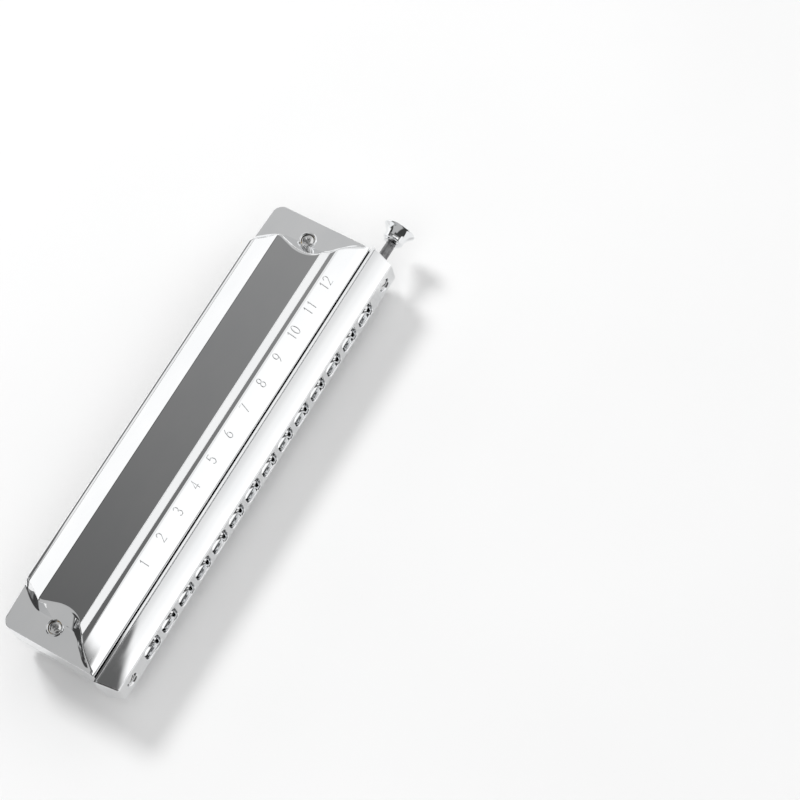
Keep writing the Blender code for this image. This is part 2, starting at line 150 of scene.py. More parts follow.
# The studio. Polished plate shows its surroundings, so the room is a grey ceiling with one
# white panel overhead, one in front, a white wall low down behind and a grey one past the
# low end. A camera ray that meets no surface sees a plain pale backdrop instead.
def studio_room():
    world = bpy.data.worlds.new("studio_room")
    bpy.context.scene.world = world
    world.use_nodes = True
    tree = world.node_tree
    tree.nodes.clear()
    start = Value(tree)
    direction = start.node("ShaderNodeTexCoord")
    x, y, z = (start.node("ShaderNodeSeparateXYZ", direction, out=i) for i in range(3))
    # Ceiling: lighter past the high end, with a lighter band that ends in dark corners
    ceiling = 0.075 + x.step(0.02, 0.42) * 0.26 + x.step(0.34, 0.42) * 0.22
    ceiling = ceiling + x.step(0.07, 0.01) * 0.40
    beside = y.step(0.05, 0.18) * y.step(0.66, 0.56)
    ceiling = ceiling * y.step(0.80, 0.70) * (1 - x.step(0.02, -0.10) * (1 - beside) * 0.9)
    # Panels overhead and in front, brighter towards the floor, and the walls low down
    overhead = (x - y * 0.05).step(0.138, 0.150) * y.step(0.24, 0.18) * y.step(-0.40, -0.38)
    front = (x - y * 0.125).step(0.190, 0.200) * y.step(-0.38, -0.40) * y.step(-0.84, -0.80)
    front = front * (0.78 + y.step(-0.40, -0.66) * 0.45)
    wall = z.step(0.50, 0.40) * y.step(0.45, 0.60)
    low_front = z.step(0.38, 0.28) * y.step(-0.86, -0.90)
    glow = ceiling.most(overhead * 0.95).most(front).most(wall * 1.1).most(low_front)
    # Grey wall past the low end, which replaces the rest there
    left = x.step(-0.30, -0.50)
    beyond = y.step(0.62, 0.55) * y.step(-0.30, -0.15) * 0.45 + 0.04
    glow = glow * (1 - left) + beyond * left + 0.015
    room = start.node("ShaderNodeBackground", glow, 1.0)
    plain = start.node("ShaderNodeBackground", (0.96, 0.96, 0.96, 1.0), 1.0)
    is_camera = start.node("ShaderNodeLightPath")
    shown = start.node("ShaderNodeMixShader", is_camera, room, plain)
    start.node("ShaderNodeOutputWorld", shown)


studio_room()


def soft_lamp(name, place, size, power):
    """Wide lamp aimed at the instrument, which the polished plate doesn't reflect."""
    data = bpy.data.lights.new(name, "AREA")
    data.shape = "DISK"
    data.size = size
    data.energy = power
    lamp = bpy.data.objects.new(name, data)
    bpy.context.scene.collection.objects.link(lamp)
    lamp.location = place
    lamp.rotation_euler = Vector(place).to_track_quat("Z", "Y").to_euler()
    lamp.visible_glossy = False


soft_lamp("key_lamp", (0.45, 0.95, 1.35), 0.5, 14)
soft_lamp("fill_lamp", (-0.6, -0.6, 1.6), 1.8, 12)


# Materials are nodes throughout: a Principled shader whose colour and roughness vary.
def new_surface(name, metallic):
    """Principled material, its shader, and a Value to start expressions with."""
    surface = bpy.data.materials.new(name)
    surface.use_nodes = True
    shader = surface.node_tree.nodes["Principled BSDF"]
    shader.inputs["Metallic"].default_value = metallic
    return surface, shader, Value(surface.node_tree)


def grain(start, scale, detail=2.0):
    """Noise over the object, stretched by a factor per metre along each axis."""
    coordinates = start.node("ShaderNodeTexCoord", out=3)
    spread = start.node("ShaderNodeVectorMath", coordinates, scale, operation="MULTIPLY")
    return start.node("ShaderNodeTexNoise", spread, named={"Scale": 1.0, "Detail": detail})


def finish_surface(shader, pattern, colours, roughness):
    """Colour the shader by a pattern between two colours, and give it its roughness."""
    links = pattern.tree.links
    tint = pattern.node("ShaderNodeValToRGB", pattern,
                        stops=[(0.3, colours[0]), (0.7, colours[1])])
    links.new(tint.socket, shader.inputs["Base Color"])
    links.new(roughness.socket, shader.inputs["Roughness"])


# Floor. A pale, matt sheet of studio paper that the instrument lies on, loose, a hair below
# the flat underside. It ends just past the low end, so that the plate there reflects the
# grey wall.
def lay_floor():
    surface, shader, start = new_surface("pale_paper", 0.0)
    shader.inputs["Specular IOR Level"].default_value = 0.1
    mottle = grain(start, (8, 8, 8))
    paper = ((0.85, 0.85, 0.85), (0.87, 0.87, 0.87))
    finish_surface(shader, mottle, paper, mottle * 0.05 + 0.85)
    mesh = bpy.data.meshes.new("floor")
    left, right, half_width, level = -0.15, 0.3, 0.28, -0.0001
    corners = [(left, -half_width, level), (right, -half_width, level),
               (right, half_width, level), (left, half_width, level)]
    mesh.from_pydata(corners, [], [(0, 1, 2, 3)])
    mesh.materials.append(surface)
    floor = bpy.data.objects.new("floor", mesh)
    bpy.context.scene.collection.objects.link(floor)


lay_floor()


# Covers. Two pressed sheets, polished and chromed, form the body: a flat top with a step
# down to a numbered slope in front of it, end tabs, a skirt down to the parting line, and a
# lip along the open back. Each is held by two screws in its tabs.
def chrome_plate():
    surface, shader, start = new_surface("chrome_plate", 1.0)
    smear = grain(start, (60, 110, 110), 3.0)
    lines = grain(start, (150, 5000, 5000), 1.0)
    roughness = smear.step(0.45, 0.8) * 0.03 + lines * 0.014 + 0.012
    finish_surface(shader, smear, ((0.85, 0.86, 0.87), (0.89, 0.895, 0.90)), roughness)
    return surface


chrome = chrome_plate()
SHEET = 0.5                   # thickness
TAB_LEVEL, TAB_FALL = 9.96, 0.07  # height of a tab at TAB_START, and its fall per millimetre
TAB_START = 71.5
RIM_HALF, REAR_EDGE = 80.1, 42.2  # half length and rear edge at the tabs
PLAN_CORNER = 3.0             # radius of the rear corners in plan
REAR_OPENING = 67.8           # half length of the open back
SKIRT_FLARE = 0.25            # how far the skirt leans out
SCREW_X, SCREW_Y = 73.1, 26.5
SCREW_HOLE = 2.3
PARTING = 0.15                # half the gap between the covers
# Cross section over the raised part: y, z and the radius of the bend
SECTION = [
    (7.64, 7.2, 0), (7.66, 8.5, 0.3), (9.2, 9.7, 1.8), (13.0, 11.88, 3.0), (14.85, 12.93, 0.3),
    (16.42, 13.0, 0.12), (17.95, 15.35, 0.2), (33.7, 15.35, 0.45), (41.15, 11.98, 0.12),
    (41.35, 12.1, 0.25), (42.0, 12.2, 0.4), (42.62, 11.9, 0.4), (42.8, 11.3, 0.4), (42.7, 10.3, 0),
]
REAR_START = 38.8             # behind this the rows turn round the rear corners
# Wall of the raised part in plan: y, half length at its top, half length at its foot
WALL_PLAN = [
    (7.6, 79.3, 79.8), (9.8, 78.5, 79.3), (11.6, 77.2, 78.6), (13.4, 75.6, 77.4),
    (15.0, 73.7, 75.9), (16.5, 71.6, 74.6), (17.7, 69.9, 73.2), (19.6, 68.2, 72.0),
    (23.0, 67.1, 71.6), (26.5, 67.2, 71.5), (30.3, 68.3, 71.5), (33.5, 69.1, 71.2),
    (36.0, 67.7, 70.4), (38.5, 66.2, 69.0), (41.5, 64.7, 66.8), (42.8, 64.3, 65.9),
]


def smooth_value(table, place, column):
    """Read a column of a table at any place, along a smooth curve through its rows."""
    spots = [row[0] for row in table]
    place = min(max(place, spots[0]), spots[-1])
    k = max(i for i in range(len(spots) - 1) if spots[i] <= place)

    def slope(i):
        low, high = max(i - 1, 0), min(i + 1, len(spots) - 1)
        return (table[high][column] - table[low][column]) / (spots[high] - spots[low])

    width = spots[k + 1] - spots[k]
    t = (place - spots[k]) / width
    return ((2 * t ** 3 - 3 * t ** 2 + 1) * table[k][column]
            + (t ** 3 - 2 * t ** 2 + t) * width * slope(k)
            + (3 * t ** 2 - 2 * t ** 3) * table[k + 1][column]
            + (t ** 3 - t ** 2) * width * slope(k + 1))


def bend(points, radii, steps):
    """Round each corner that has a radius, always with the same number of points."""
    path = []
    for i, (point, radius) in enumerate(zip(points, radii)):
        if not radius:
            path.append(Vector(point))
            continue
        back, ahead = Vector(points[i - 1]) - point, Vector(points[i + 1]) - point
        reach = min(radius, 0.48 * back.length, 0.48 * ahead.length)
        first, last = point + back.normalized() * reach, point + ahead.normalized() * reach
        for k in range(steps + 1):
            t = k / steps
            path.append(first * (1 - t) ** 2 + point * (2 * t * (1 - t)) + last * t ** 2)
    return path


def divide(path, longest):
    """Add points so that no stretch is longer than a length."""
    fine = [path[0]]
    for a, b in zip(path, path[1:]):
        parts = max(1, math.ceil((b - a).length / longest))
        fine += [a.lerp(b, (k + 1) / parts) for k in range(parts)]
    return fine


def tab_level(x):
    """Height of a tab at a distance from the middle."""
    return TAB_LEVEL - TAB_FALL * (x - TAB_START)


def rim_point(y, share):
    """Edge of the tab in plan: the end, the round corner, then the rear edge."""
    straight = REAR_EDGE - PLAN_CORNER
    if share == 0:
        return RIM_HALF, min(y, straight)
    arc = math.pi / 2 * PLAN_CORNER
    travelled = share * (arc + RIM_HALF - PLAN_CORNER - REAR_OPENING)
    if travelled < arc:
        turn = travelled / PLAN_CORNER
        return (RIM_HALF - PLAN_CORNER * (1 - math.cos(turn)),
                straight + PLAN_CORNER * math.sin(turn))
    return RIM_HALF - PLAN_CORNER - (travelled - arc), REAR_EDGE


def cover_row(y, z, tab_y, share):
    """Half a row: over the raised part, down its wall, over the tab and down the skirt."""
    top, foot = smooth_value(WALL_PLAN, y, 1), smooth_value(WALL_PLAN, tab_y, 2)
    rim_x, rim_y = rim_point(y, share)
    foot_z, rim_z = min(z, tab_level(foot)), min(z, tab_level(rim_x))
    corners = [Vector((0, y, z)), Vector((top * 0.6, y, z)), Vector((top, y, z)),
               Vector((foot, tab_y, foot_z)), Vector((rim_x, rim_y, rim_z)),
               Vector((rim_x + SKIRT_FLARE, rim_y, PARTING))]
    return bend(corners, (0, 0, 0.7, 0.6, 0.28, 0), 5)


def rear_share(path):
    """How far each point of the section is along its part behind REAR_START, from 0 to 1."""
    total, shares = 0.0, []
    for i, point in enumerate(path):
        if point.y > REAR_START:
            total += (point - path[i - 1]).length
        shares.append(total)
    return [share / total for share in shares]


def new_piece(name, mesh_bm, surface, body, sharp=35):
    """Mesh drawn in millimetres, made into a piece that rides on a body."""
    bmesh.ops.recalc_face_normals(mesh_bm, faces=mesh_bm.faces)
    mesh = bpy.data.meshes.new(name)
    for vert in mesh_bm.verts:
        vert.co = at(*vert.co)
    mesh_bm.to_mesh(mesh)
    mesh_bm.free()
    if surface:
        mesh.materials.append(surface)
    mesh.shade_smooth()
    mesh.set_sharp_from_angle(angle=math.radians(sharp))
    piece = bpy.data.objects.new(name, mesh)
    bpy.context.scene.collection.objects.link(piece)
    if body:
        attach(piece, body)
    return piece


def settle(piece, sharp=35):
    """Turn a piece's modifiers into its mesh, and mark its sharp edges again."""
    bpy.context.view_layer.update()
    graph = bpy.context.evaluated_depsgraph_get()
    made = bpy.data.meshes.new_from_object(piece.evaluated_get(graph))
    piece.modifiers.clear()
    old, piece.data = piece.data, made
    bpy.data.meshes.remove(old)
    made.shade_smooth()
    made.set_sharp_from_angle(angle=math.radians(sharp))


def carve(piece, *tools, sharp=35):
    """Cut tools, drawn in millimetres, out of a piece."""
    cutters = [new_piece("tool", tool, None, None) for tool in tools]
    for cutter in cutters:
        step = piece.modifiers.new("cut", "BOOLEAN")
        step.operation, step.solver, step.object = "DIFFERENCE", "EXACT", cutter
    settle(piece, sharp)
    for cutter in cutters:
        bpy.data.objects.remove(cutter)


def even_normals(piece):
    """Let large faces lead the shading, so that flats stay flat beside their bends."""
    weigh = piece.modifiers.new("even_normals", "WEIGHTED_NORMAL")
    weigh.keep_sharp = True
    weigh.weight = 100


def turned(profile, axis, centre, sides):
    """Turn (radius, distance) points about an axis; radius 0 closes an end."""
    mesh_bm = bmesh.new()
    rings = []
    for radius, along in profile:
        ring = []
        for i in range(sides if radius > 0 else 1):
            turn = 2 * math.pi * i / sides
            a, b = radius * math.cos(turn), radius * math.sin(turn)
            offset = {"x": (along, a, b), "y": (a, along, b), "z": (a, b, along)}[axis]
            ring.append(mesh_bm.verts.new(Vector(centre) + Vector(offset)))
        rings.append(ring)
    for low, high in zip(rings, rings[1:]):
        for i in range(sides):
            j = (i + 1) % sides
            ends = (low[i % len(low)], low[j % len(low)],
                    high[j % len(high)], high[i % len(high)])
            mesh_bm.faces.new(list(dict.fromkeys(ends)))
    if profile[0][0] > 0 and profile[-1][0] > 0:
        for i in range(sides):
            j = (i + 1) % sides
            mesh_bm.faces.new((rings[-1][i], rings[-1][j], rings[0][j], rings[0][i]))
    return mesh_bm


def make_cover(side, name):
    """Sheet through the rows of the section, thickened inwards, with two screw holes."""
    section = [Vector((0, y, z)) for y, z, _ in SECTION]
    longest = 0.6
    path = divide(bend(section, [row[2] for row in SECTION], 4), longest)
    mesh_bm = bmesh.new()
    grid = []
    for point, along in zip(path, rear_share(path)):
        tab_y = REAR_START + (REAR_EDGE - REAR_START) * along if along else point.y
        half = cover_row(point.y, point.z, tab_y, along ** 2)
        whole = [Vector((-p.x, p.y, p.z)) for p in half[:0:-1]] + half
        grid.append([mesh_bm.verts.new((p.x, p.y, side * p.z)) for p in whole])
    for front, rear in zip(grid, grid[1:]):
        for i in range(len(front) - 1):
            corners = [front[i], front[i + 1], rear[i + 1], rear[i]]
            mesh_bm.faces.new(corners if side > 0 else corners[::-1])
    cover = new_piece(name, mesh_bm, chrome, "body")
    skin = cover.modifiers.new("sheet", "SOLIDIFY")
    skin.thickness, skin.offset, skin.use_even_offset = SHEET * MM, -1, True
    low, high = side * 7.5, side * 11
    drill = [(0, low), (SCREW_HOLE, low), (SCREW_HOLE, high), (0, high)]
    carve(cover, *[turned(drill, "z", (end * SCREW_X, SCREW_Y, 0), 48) for end in (-1, 1)])
    even_normals(cover)
    return cover


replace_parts(make_cover(1, "top_cover_sheet"), "top_cover")
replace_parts(make_cover(-1, "bottom_cover_sheet"), "bottom_cover")


# Hole numbers. The slope in front of the flat top carries 1 to 12, above the third to the
# last hole. They are fine single-line figures, pressed up out of the chromed sheet, that
# read from the mouth side.
PITCH, HOLES = 9.6, 14
HOLE_X = [(i - (HOLES - 1) / 2) * PITCH for i in range(HOLES)]
DIGIT_Y, DIGIT_TALL, DIGIT_WIDE, DIGIT_GAP = 12.6, 2.85, 1.75, 0.55
STROKE = 0.19                 # radius of a raised line
FIRST_NUMBERED = 2            # the two lowest holes have no number


def arc(centre_x, centre_y, radius_x, radius_y, first, last, steps=10):
    """Part of an ellipse between two angles in degrees."""
    turns = [math.radians(first + (last - first) * k / steps) for k in range(steps + 1)]
    return [(centre_x + radius_x * math.cos(t), centre_y + radius_y * math.sin(t))
            for t in turns]


# Strokes in a box one wide and one high
DIGITS = {
    "0": [arc(0.5, 0.5, 0.46, 0.5, 90, 450, 20)],
    "1": [[(0.28, 0.8), (0.58, 1.0), (0.58, 0.0)]],
    "2": [arc(0.48, 0.72, 0.42, 0.28, 165, -40) + [(0.06, 0.0), (0.94, 0.0)]],
    "3": [arc(0.46, 0.75, 0.38, 0.25, 150, -90), arc(0.46, 0.25, 0.44, 0.25, 90, -150)],
    "4": [[(0.98, 0.28), (0.04, 0.28), (0.7, 1.0), (0.7, 0.0)]],
    "5": [[(0.86, 1.0), (0.2, 1.0), (0.14, 0.56)] + arc(0.46, 0.32, 0.44, 0.32, 125, -150, 12)],
    "6": [arc(0.5, 0.3, 0.42, 0.3, 100, 460, 18), [(0.1, 0.38), (0.3, 0.75), (0.68, 1.0)]],
    "7": [[(0.08, 1.0), (0.92, 1.0), (0.36, 0.0)]],
    "8": [arc(0.5, 0.76, 0.36, 0.24, -90, 270, 16), arc(0.5, 0.26, 0.44, 0.26, 90, 450, 16)],
    "9": [arc(0.5, 0.7, 0.42, 0.3, -80, 280, 18), [(0.9, 0.62), (0.7, 0.25), (0.32, 0.0)]],
}
SLOPE = [(y, z) for y, z, _ in SECTION[1:6]]


def slope_level(y):
    """Height of the numbered slope at a distance behind the mouth face."""
    for (y0, z0), (y1, z1) in zip(SLOPE, SLOPE[1:]):
        if y <= y1:
            return z0 + (z1 - z0) * (y - y0) / (y1 - y0)
    return SLOPE[-1][1]


def add_stroke(mesh_bm, path, radius, sides=8):
    """Tube of round section along a path of points in millimetres."""
    rings = []
    for i, point in enumerate(path):
        ahead = (path[min(i + 1, len(path) - 1)] - path[max(i - 1, 0)]).normalized()
        across = ahead.cross(Vector((0, 0.2, 1))).normalized()
        up = across.cross(ahead)
        turns = [2 * math.pi * k / sides for k in range(sides)]
        rings.append([mesh_bm.verts.new(point + radius * (across * math.cos(t) + up * math.sin(t)))
                      for t in turns])
    for low, high in zip(rings, rings[1:]):
        for k in range(sides):
            mesh_bm.faces.new((low[k - 1], low[k], high[k], high[k - 1]))
    mesh_bm.faces.new(rings[0])
    mesh_bm.faces.new(rings[-1][::-1])


def press_number(number):
    """Raised lines of one number, centred on its hole."""
    mesh_bm = bmesh.new()
    text = str(number)
    step = DIGIT_WIDE + DIGIT_GAP
    centre = HOLE_X[number - 1 + FIRST_NUMBERED]
    for place, digit in enumerate(text):
        left = centre - DIGIT_WIDE / 2 + step * (place - (len(text) - 1) / 2)
        for stroke in DIGITS[digit]:
            path = []
            for across, up in stroke:
                y = DIGIT_Y + DIGIT_TALL * (up - 0.5)
                path.append(Vector((left + DIGIT_WIDE * across, y, slope_level(y))))
            add_stroke(mesh_bm, path, STROKE)
    figure = new_piece(f"hole_number_{number:02d}", mesh_bm, chrome, "body", 60)


for hole_number in range(1, HOLES - FIRST_NUMBERED + 1):
    press_number(hole_number)


# Mouthpiece. A chromed brass bar with bevelled top and bottom, fourteen rounded mouth holes
# with funnelled edges, and a channel behind for the slide. Two screws hold it to the comb.
BEVEL_Z, FACE_Z = 8.09, 4.51  # half height at the back of the bevels and at the mouth face
FACE_HALF, END_SLOPE = 79.74, 0.23  # half length at the face, and its growth with depth
MOUTH_DEPTH = 7.2
SLIDE_Y = 5.85                # mid-plane of the slide, behind the mouth face
MOUTH_SCREW_X = 74.1
# Softened ends: distance from the end, and how far the outline is drawn in there
END_LAYERS = [(0.5, 0.0), (0.22, 0.05), (0.05, 0.2), (0.0, 0.42)]
# Mouth hole: distance behind the face, half width, half height, radius of the corners
HOLE_LAYERS = [
    (-0.5, 4.4, 4.15, 2.2), (0.0, 4.0, 3.75, 2.2), (0.1, 3.87, 3.62, 2.15),
    (0.25, 3.78, 3.53, 2.1), (0.45, 3.74, 3.49, 2.05), (1.85, 3.73, 3.48, 2.0),
    (2.05, 3.68, 3.4, 2.3), (2.3, 3.6, 3.26, 2.7), (2.6, 3.52, 3.1, 2.95),
    (3.0, 3.42, 2.93, 2.88), (3.4, 3.36, 2.86, 2.84), (5.0, 3.32, 2.84, 2.8),
]
# Seat and way of a mouthpiece screw: radius, distance behind the face
SCREW_RECESS = [(0, -1), (2.75, -1), (2.45, 0), (2.28, 0.25), (2.2, 0.7), (2.2, 1.5),
                (1.2, 1.5), (1.2, 5.0), (0, 5.0)]


def rounded_hole(half_x, half_z, radius, steps=8):
    """Outline of a rectangle with round corners, about the origin."""
    points = []
    for quarter, (sx, sz) in enumerate(((1, 1), (-1, 1), (-1, -1), (1, -1))):
        for i in range(steps + 1):
            turn = math.pi / 2 * (quarter + i / steps)
            points.append((sx * (half_x - radius) + radius * math.cos(turn),
                           sz * (half_z - radius) + radius * math.sin(turn)))
    return points


def box_tool(x, y, z):
    """Box between a low and a high value along each axis."""
    mesh_bm = bmesh.new()
    corners = [mesh_bm.verts.new((i, j, k)) for k in z for j in y for i in x]
    for side in ((0, 2, 3, 1), (4, 5, 7, 6), (0, 1, 5, 4),
                 (1, 3, 7, 5), (3, 2, 6, 7), (2, 0, 4, 6)):
        mesh_bm.faces.new([corners[i] for i in side])
    return mesh_bm


def loft(rings, mesh_bm):
    """Join rings of points into a closed body."""
    made = [[mesh_bm.verts.new(point) for point in ring] for ring in rings]
    mesh_bm.faces.new(made[0])
    mesh_bm.faces.new(made[-1][::-1])
    for low, high in zip(made, made[1:]):
        for i in range(len(low)):
            mesh_bm.faces.new((low[i - 1], low[i], high[i], high[i - 1]))


def mouth_section():
    """Outline of the bar in y and z: slightly round bevels with a fine groove behind."""
    upper = [(0, 3.6), (0, FACE_Z), (2.3, 5.83), (4.6, 7.03), (6.25, 7.80), (6.42, 7.5),
             (6.6, 7.79), (MOUTH_DEPTH, BEVEL_Z)]
    radii = (0, 0.35, 1.9, 1.5, 0.2, 0.1, 0.08, 0)
    half = bend([Vector((0, y, z)) for y, z in upper], radii, 5)
    return [(p.y, p.z) for p in half] + [(p.y, -p.z) for p in half[::-1]]


def make_mouthpiece():
    """Bar between two softened ends, with the holes, recesses and channels cut out."""
    section = mouth_section()
    rings = []
    for end in (-1, 1):
        for back, inset in END_LAYERS[::-1] if end < 0 else END_LAYERS:
            rings.append([(end * (FACE_HALF + END_SLOPE * y - back),
                           y + inset * (0.5 - y / MOUTH_DEPTH) * 1.2,
                           z - math.copysign(inset, z))
                          for y, z in section])
    block = bmesh.new()
    loft(rings, block)
    bar = new_piece("mouthpiece_bar", block, chrome, "body")
    funnels = bmesh.new()
    for x in HOLE_X:
        loft([[(x + px, y, pz) for px, pz in rounded_hole(*size)] for y, *size in HOLE_LAYERS],
             funnels)
    screws = [turned(SCREW_RECESS, "y", (end * MOUTH_SCREW_X, 0, 0), 40) for end in (-1, 1)]
    half_length, front, half_height = 77, 4.7, 5.9
    channel = box_tool((-half_length, half_length), (front, 8), (-half_height, half_height))
    # Ways at the high end for the slide, its neck and the spring's arm
    past_end, slide_gap, neck_gap = 84, 0.55, 1.85
    slide_way = box_tool((76.5, past_end), (SLIDE_Y - slide_gap, SLIDE_Y + slide_gap), (-4, 4))
    neck_way = turned([(0, 76.9), (neck_gap, 76.9), (neck_gap, past_end), (0, past_end)],
                      "x", (0, SLIDE_Y, 0), 32)
    spring_way = box_tool((76, 79.4), (5.2, 8), (-3.2, -1.8))
    carve(bar, channel, funnels, *screws, slide_way, neck_way, spring_way, sharp=30)
    even_normals(bar)
    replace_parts(bar, "mouthpiece")


make_mouthpiece()


# Screws. Two in each cover with crossed slots, each in a raised chromed seat, two slotted
# ones through the mouthpiece, and four slotted ones in each reed plate: nickelled steel.
def turned_steel(name, colours, polish):
    surface, shader, start = new_surface(name, 1.0)
    marks = grain(start, (900, 900, 900), 2.0)
    finish_surface(shader, marks, colours, marks * 0.12 + polish)
    return surface


bright_steel = turned_steel("nickelled_steel", ((0.74, 0.74, 0.74), (0.82, 0.82, 0.82)), 0.04)
THREAD, RIDGE = 0.35, 0.12    # pitch and height of the thread's ridges
# Profiles: radius, then distance along the axis
COVER_HEAD = [(1.0, 9.05), (1.45, 9.1), (2.0, 9.35), (2.05, 9.45), (1.98, 9.58), (1.7, 9.72),
              (1.0, 9.82), (0, 9.85)]
SEAT_RING = [(2.25, 9.1), (2.25, 9.95), (2.33, 10.1), (2.5, 10.18), (2.72, 10.12),
             (2.9, 9.9), (2.95, 9.6), (2.95, 9.3)]
PLATE_HEAD = [(0.8, 7.15), (1.62, 7.15), (1.7, 7.25), (1.7, 7.45), (1.5, 7.7), (1.0, 7.92),
              (0, 8.0)]
MOUTH_HEAD = [(0, 0.33), (0.9, 0.36), (1.55, 0.5), (1.88, 0.72), (1.95, 0.9), (1.95, 1.3),
              (0.95, 1.3)]
PLATE_SCREW_X, PLATE_SCREW_Y = (-71.0, -24.0, 24.0, 71.0), 36.7


def threaded(radius, low, high):
    """Profile of a threaded shank between two levels, its ridges one pitch apart."""
    count = int((high - low) / THREAD)
    profile = []
    for k in range(count):
        profile += [(radius - RIDGE, low + THREAD * k), (radius, low + THREAD * (k + 0.5))]
    return profile + [(radius - RIDGE, low + THREAD * count)]


def make_screw(name, node, profile, axis, centre, slots, sides=32):
    """Turned screw with slots cut in its head."""
    screw = new_piece(name, turned(profile, axis, centre, sides), bright_steel, "body", 40)
    carve(screw, *slots, sharp=40)
    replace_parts(screw, node)


def cross_slot(x, y, level, side, turn):
    """Crossed slot: two tapered bars turned about the screw's axis."""
    tools = []
    layers = [(level - 0.5, 0.75, 0.14), (level + 0.05, 1.25, 0.26), (level + 0.6, 1.35, 0.3)]
    ways = ((-1, -1), (1, -1), (1, 1), (-1, 1))
    for angle in (turn, turn + 90):
        tool = bmesh.new()
        loft([[(long * i, wide * j, z) for i, j in ways] for z, long, wide in layers], tool)
        bmesh.ops.rotate(tool, verts=tool.verts,
                         matrix=Matrix.Rotation(math.radians(angle), 3, "Z"))
        for vert in tool.verts:
            vert.co = (vert.co.x + x, vert.co.y + y, vert.co.z * side)
        tools.append(tool)
    return tools


def make_cover_screws(side, level):
    """The two screws of one cover, each with its seat ring."""
    for end, place, turn in ((-1, "low", 28), (1, "high", 62)):
        profile = [(0, 7.3)] + threaded(1.0, 7.3, 9.0) + COVER_HEAD
        centre = (end * SCREW_X, SCREW_Y)
        make_screw(f"{level}_cover_screw_{place}_head", f"{level}_cover_screw_{place}",
                   [(r, side * z) for r, z in profile], "z", (*centre, 0),
                   cross_slot(*centre, 9.8, side, turn))
        ring = turned([(r, side * z) for r, z in SEAT_RING], "z", (*centre, 0), 48)
        seat = new_piece(f"{level}_screw_seat_{place}", ring, chrome, "body", 50)


make_cover_screws(1, "upper")
make_cover_screws(-1, "lower")


def make_plate_screws(side, level):
    """The four slotted screws of one reed plate."""
    slot_half = 0.22
    slot_y = (PLATE_SCREW_Y - slot_half, PLATE_SCREW_Y + slot_half)
    profile = [(0, 2.6)] + threaded(0.8, 2.6, 7.1) + PLATE_HEAD
    for number, x in enumerate(PLATE_SCREW_X, 1):
        slot = box_tool((x - 2, x + 2), slot_y, sorted((side * 7.6, side * 8.3)))
        make_screw(f"{level}_plate_screw_{number}_head", f"{level}_plate_screw_{number}",
                   [(r, side * z) for r, z in profile], "z", (x, PLATE_SCREW_Y, 0), [slot], 24)


make_plate_screws(1, "upper")
make_plate_screws(-1, "lower")


def make_mouth_screws():
    """The two slotted screws that hold the mouthpiece, their slots turned askew."""
    shank = threaded(0.95, 1.35, 12.9)
    profile = MOUTH_HEAD + shank + [(0, shank[-1][1])]
    for end, place in ((-1, "low"), (1, "high")):
        slot = box_tool((-2.5, 2.5), (-0.3, 0.85), (-0.26, 0.26))
        askew = Matrix.Rotation(math.radians(end * 35), 3, "Y")
        bmesh.ops.rotate(slot, verts=slot.verts, matrix=askew)
        bmesh.ops.translate(slot, verts=slot.verts, vec=(end * MOUTH_SCREW_X, 0, 0))
        make_screw(f"mouthpiece_screw_{place}_head", f"mouthpiece_screw_{place}", profile,
                   "y", (end * MOUTH_SCREW_X, 0, 0), [slot])


make_mouth_screws()


# Button. The player's finger pushes this flared, chromed knob at the end of a dark steel
# neck that is fixed to the slide.
NECK_RADIUS = 1.6
WAIST_RADIUS, FLARE, FLARE_START, FLARE_LONG = 3.45, 1.95, 89.0, 3.75
# Radius, distance from the middle of the instrument
KNOB_COLLAR = [(0, 87.9), (2.6, 87.9), (2.82, 87.96), (2.9, 88.15), (2.92, 88.4),
               (3.05, 88.5), (3.3, 88.56), (3.42, 88.7), (WAIST_RADIUS, FLARE_START)]
KNOB_FACE = [(5.46, 92.85), (5.48, 93.0), (5.42, 93.16), (5.28, 93.26), (5.0, 93.34),
             (4.6, 93.4), (4.45, 93.34), (4.35, 93.34), (4.2, 93.46), (3.6, 93.75),
             (2.8, 94.0), (1.9, 94.16), (1.0, 94.23), (0, 94.25)]
STEM = [(0, 81.3), (1.35, 81.3), (NECK_RADIUS, 81.5), (NECK_RADIUS, 86.6), (1.5, 86.75),
        (1.5, 87.1), (NECK_RADIUS, 87.2), (NECK_RADIUS, 87.6), (0, 87.6)]


def make_button():
    """Knob and stem, turned about the slide's line of travel."""
    profile = list(KNOB_COLLAR)
    steps = 18
    for i in range(1, steps + 1):
        share = i / steps
        profile.append((WAIST_RADIUS + FLARE * share ** 2.2, FLARE_START + FLARE_LONG * share))
    knob_bm = turned(profile + KNOB_FACE, "x", (0, SLIDE_Y, 0), 72)
    knob = new_piece("button_knob", knob_bm, chrome, "slide_group", 50)
    even_normals(knob)
    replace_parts(knob, "slide_button")
    dark_steel = turned_steel("dark_steel", ((0.16, 0.16, 0.165), (0.24, 0.24, 0.245)), 0.22)
    stem_bm = turned(STEM, "x", (0, SLIDE_Y, 0), 48)
    neck = new_piece("button_stem", stem_bm, dark_steel, "slide_group", 40)
    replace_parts(neck, "button_neck")


make_button()


# Slide and its guides. A thin steel strip with two rows of windows runs between two
# windowed guide plates; a wire spring pushes it out, and a rubber pad stops it. The steel is
# painted darker than ground strip is: painted shade of the mouth holes it lies behind.
def finish_node(node, surface):
    """Give a CAD piece that keeps its own shape its material."""
    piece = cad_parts[node]
    piece.data.materials.clear()
    piece.data.materials.append(surface)


def rolled_steel(name, colours, polish):
    """Strip steel with fine lines along its length."""
    surface, shader, start = new_surface(name, 1.0)
    lines = grain(start, (40, 1500, 4000), 3.0)
    finish_surface(shader, lines, colours, lines * 0.14 + polish)
    return surface


# Painted shade: these dark colours stand for the shade behind the mouth holes, on the slide, its
# guides and the spring wire.
strip_steel_painted_shade = rolled_steel("strip_steel_painted_shade", ((0.07, 0.07, 0.075), (0.13, 0.13, 0.135)), 0.22)
for node_name in ("slide", "slide_front_guide", "slide_back_guide"):
    finish_node(node_name, strip_steel_painted_shade)


